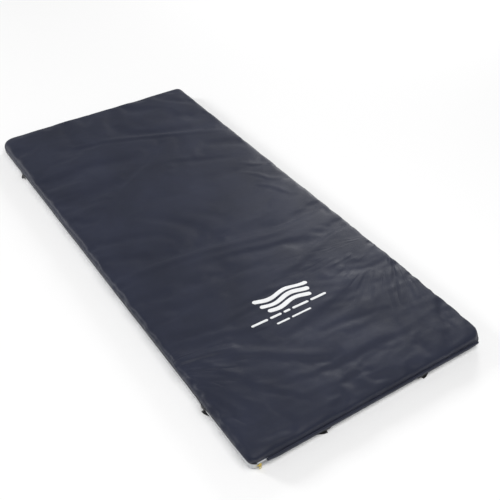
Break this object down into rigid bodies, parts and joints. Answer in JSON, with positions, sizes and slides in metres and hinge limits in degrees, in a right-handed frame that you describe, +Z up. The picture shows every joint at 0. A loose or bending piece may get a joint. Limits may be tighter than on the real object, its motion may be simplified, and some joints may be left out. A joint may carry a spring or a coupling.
{
  "type": "pressure relief mattress overlay",
  "caption": "Flat rectangular gel and foam mattress overlay in a dark coated cover with a pale base, a zip along the foot end and elastic corner straps.",
  "frame": {"origin": "middle of the underside", "axes": "+Z up, +Y towards the head end, +X to the right when standing at the foot end and looking to the head"},
  "size_m": [0.8664, 1.937, 0.051],
  "materials": {
    "coated_nylon": "satin",
    "pale_vinyl": "satin",
    "binding_tape": "matte",
    "elastic_webbing": "matte",
    "label_cloth": "satin",
    "knit_sleeve": "matte",
    "soft_foam": "matte",
    "firm_foam": "matte",
    "bladder_film": "gloss",
    "gel": "gloss",
    "zip_tape": "matte",
    "zip_teeth": "satin",
    "zip_metal": "satin"
  },
  "bodies": {
    "overlay": {"base_cover": "pale_vinyl", "care_label": "label_cloth", "fire_sock": "knit_sleeve", "foam_base_slab": "firm_foam", "foam_comfort_sheet": "soft_foam", "foam_divider_1": "firm_foam", "foam_divider_2": "firm_foam", "foam_foot_rail": "firm_foam", "foam_head_rail": "firm_foam", "foam_side_rail_left": "firm_foam", "foam_side_rail_right": "firm_foam", "gel_bladder_foot": "bladder_film", "gel_bladder_head": "bladder_film", "gel_bladder_torso": "bladder_film", "gel_fill_foot": "gel", "gel_fill_head": "gel", "gel_fill_torso": "gel", "seam_binding": "binding_tape", "strap_end_tab_foot_left": "elastic_webbing", "strap_end_tab_foot_right": "elastic_webbing", "strap_end_tab_head_left": "elastic_webbing", "strap_end_tab_head_right": "elastic_webbing", "strap_side_tab_foot_left": "elastic_webbing", "strap_side_tab_foot_right": "elastic_webbing", "strap_side_tab_head_left": "elastic_webbing", "strap_side_tab_head_right": "elastic_webbing", "top_cover": "coated_nylon", "zip_stop_left": "zip_metal", "zip_stop_right": "zip_metal", "zip_tape_lower": "zip_tape", "zip_tape_upper": "zip_tape", "zip_teeth_lower": "zip_teeth", "zip_teeth_upper": "zip_teeth"},
    "slider": {"zip_slider": "zip_metal"},
    "pull_ring": {"zip_pull_link": "zip_metal"},
    "pull_tab": {"zip_pull_tab": "zip_metal"},
    "flap": {"zip_flap": "coated_nylon"},
    "loop_foot_left": {"strap_foot_left": "elastic_webbing"},
    "loop_foot_right": {"strap_foot_right": "elastic_webbing"},
    "loop_head_left": {"strap_head_left": "elastic_webbing"},
    "loop_head_right": {"strap_head_right": "elastic_webbing"}
  },
  "joints": [
    {"name": "zip_slide", "type": "slide", "parent": "overlay", "child": "slider", "axis": [1, 0, 0], "range_m": [0, 0.8121]},
    {"name": "pull_lift", "type": "hinge", "parent": "slider", "child": "pull_ring", "pos_m": [-0.40605, -0.9682, 0.016], "axis": [-1, 0, 0], "range_deg": [0, 150]},
    {"name": "pull_swing", "type": "hinge", "parent": "pull_ring", "child": "pull_tab", "pos_m": [-0.40605, -0.9682, 0.01195], "axis": [0, 1, 0], "range_deg": [-40, 40]},
    {"name": "flap_lift", "type": "hinge", "parent": "overlay", "child": "flap", "pos_m": [0, -0.9657, 0.0276], "axis": [-1, 0, 0], "range_deg": [0, 95]},
    {"name": "strap_swing_foot_left", "type": "hinge", "parent": "overlay", "child": "loop_foot_left", "pos_m": [-0.2951, -0.8281, 0.0008], "axis": [0.7071, -0.7071, 0], "range_deg": [0, 100]},
    {"name": "strap_swing_foot_right", "type": "hinge", "parent": "overlay", "child": "loop_foot_right", "pos_m": [0.2951, -0.8281, 0.0008], "axis": [0.7071, 0.7071, 0], "range_deg": [0, 100]},
    {"name": "strap_swing_head_left", "type": "hinge", "parent": "overlay", "child": "loop_head_left", "pos_m": [-0.2951, 0.8281, 0.0008], "axis": [-0.7071, -0.7071, 0], "range_deg": [0, 100]},
    {"name": "strap_swing_head_right", "type": "hinge", "parent": "overlay", "child": "loop_head_right", "pos_m": [0.2951, 0.8281, 0.0008], "axis": [-0.7071, 0.7071, 0], "range_deg": [0, 100]}
  ]
}
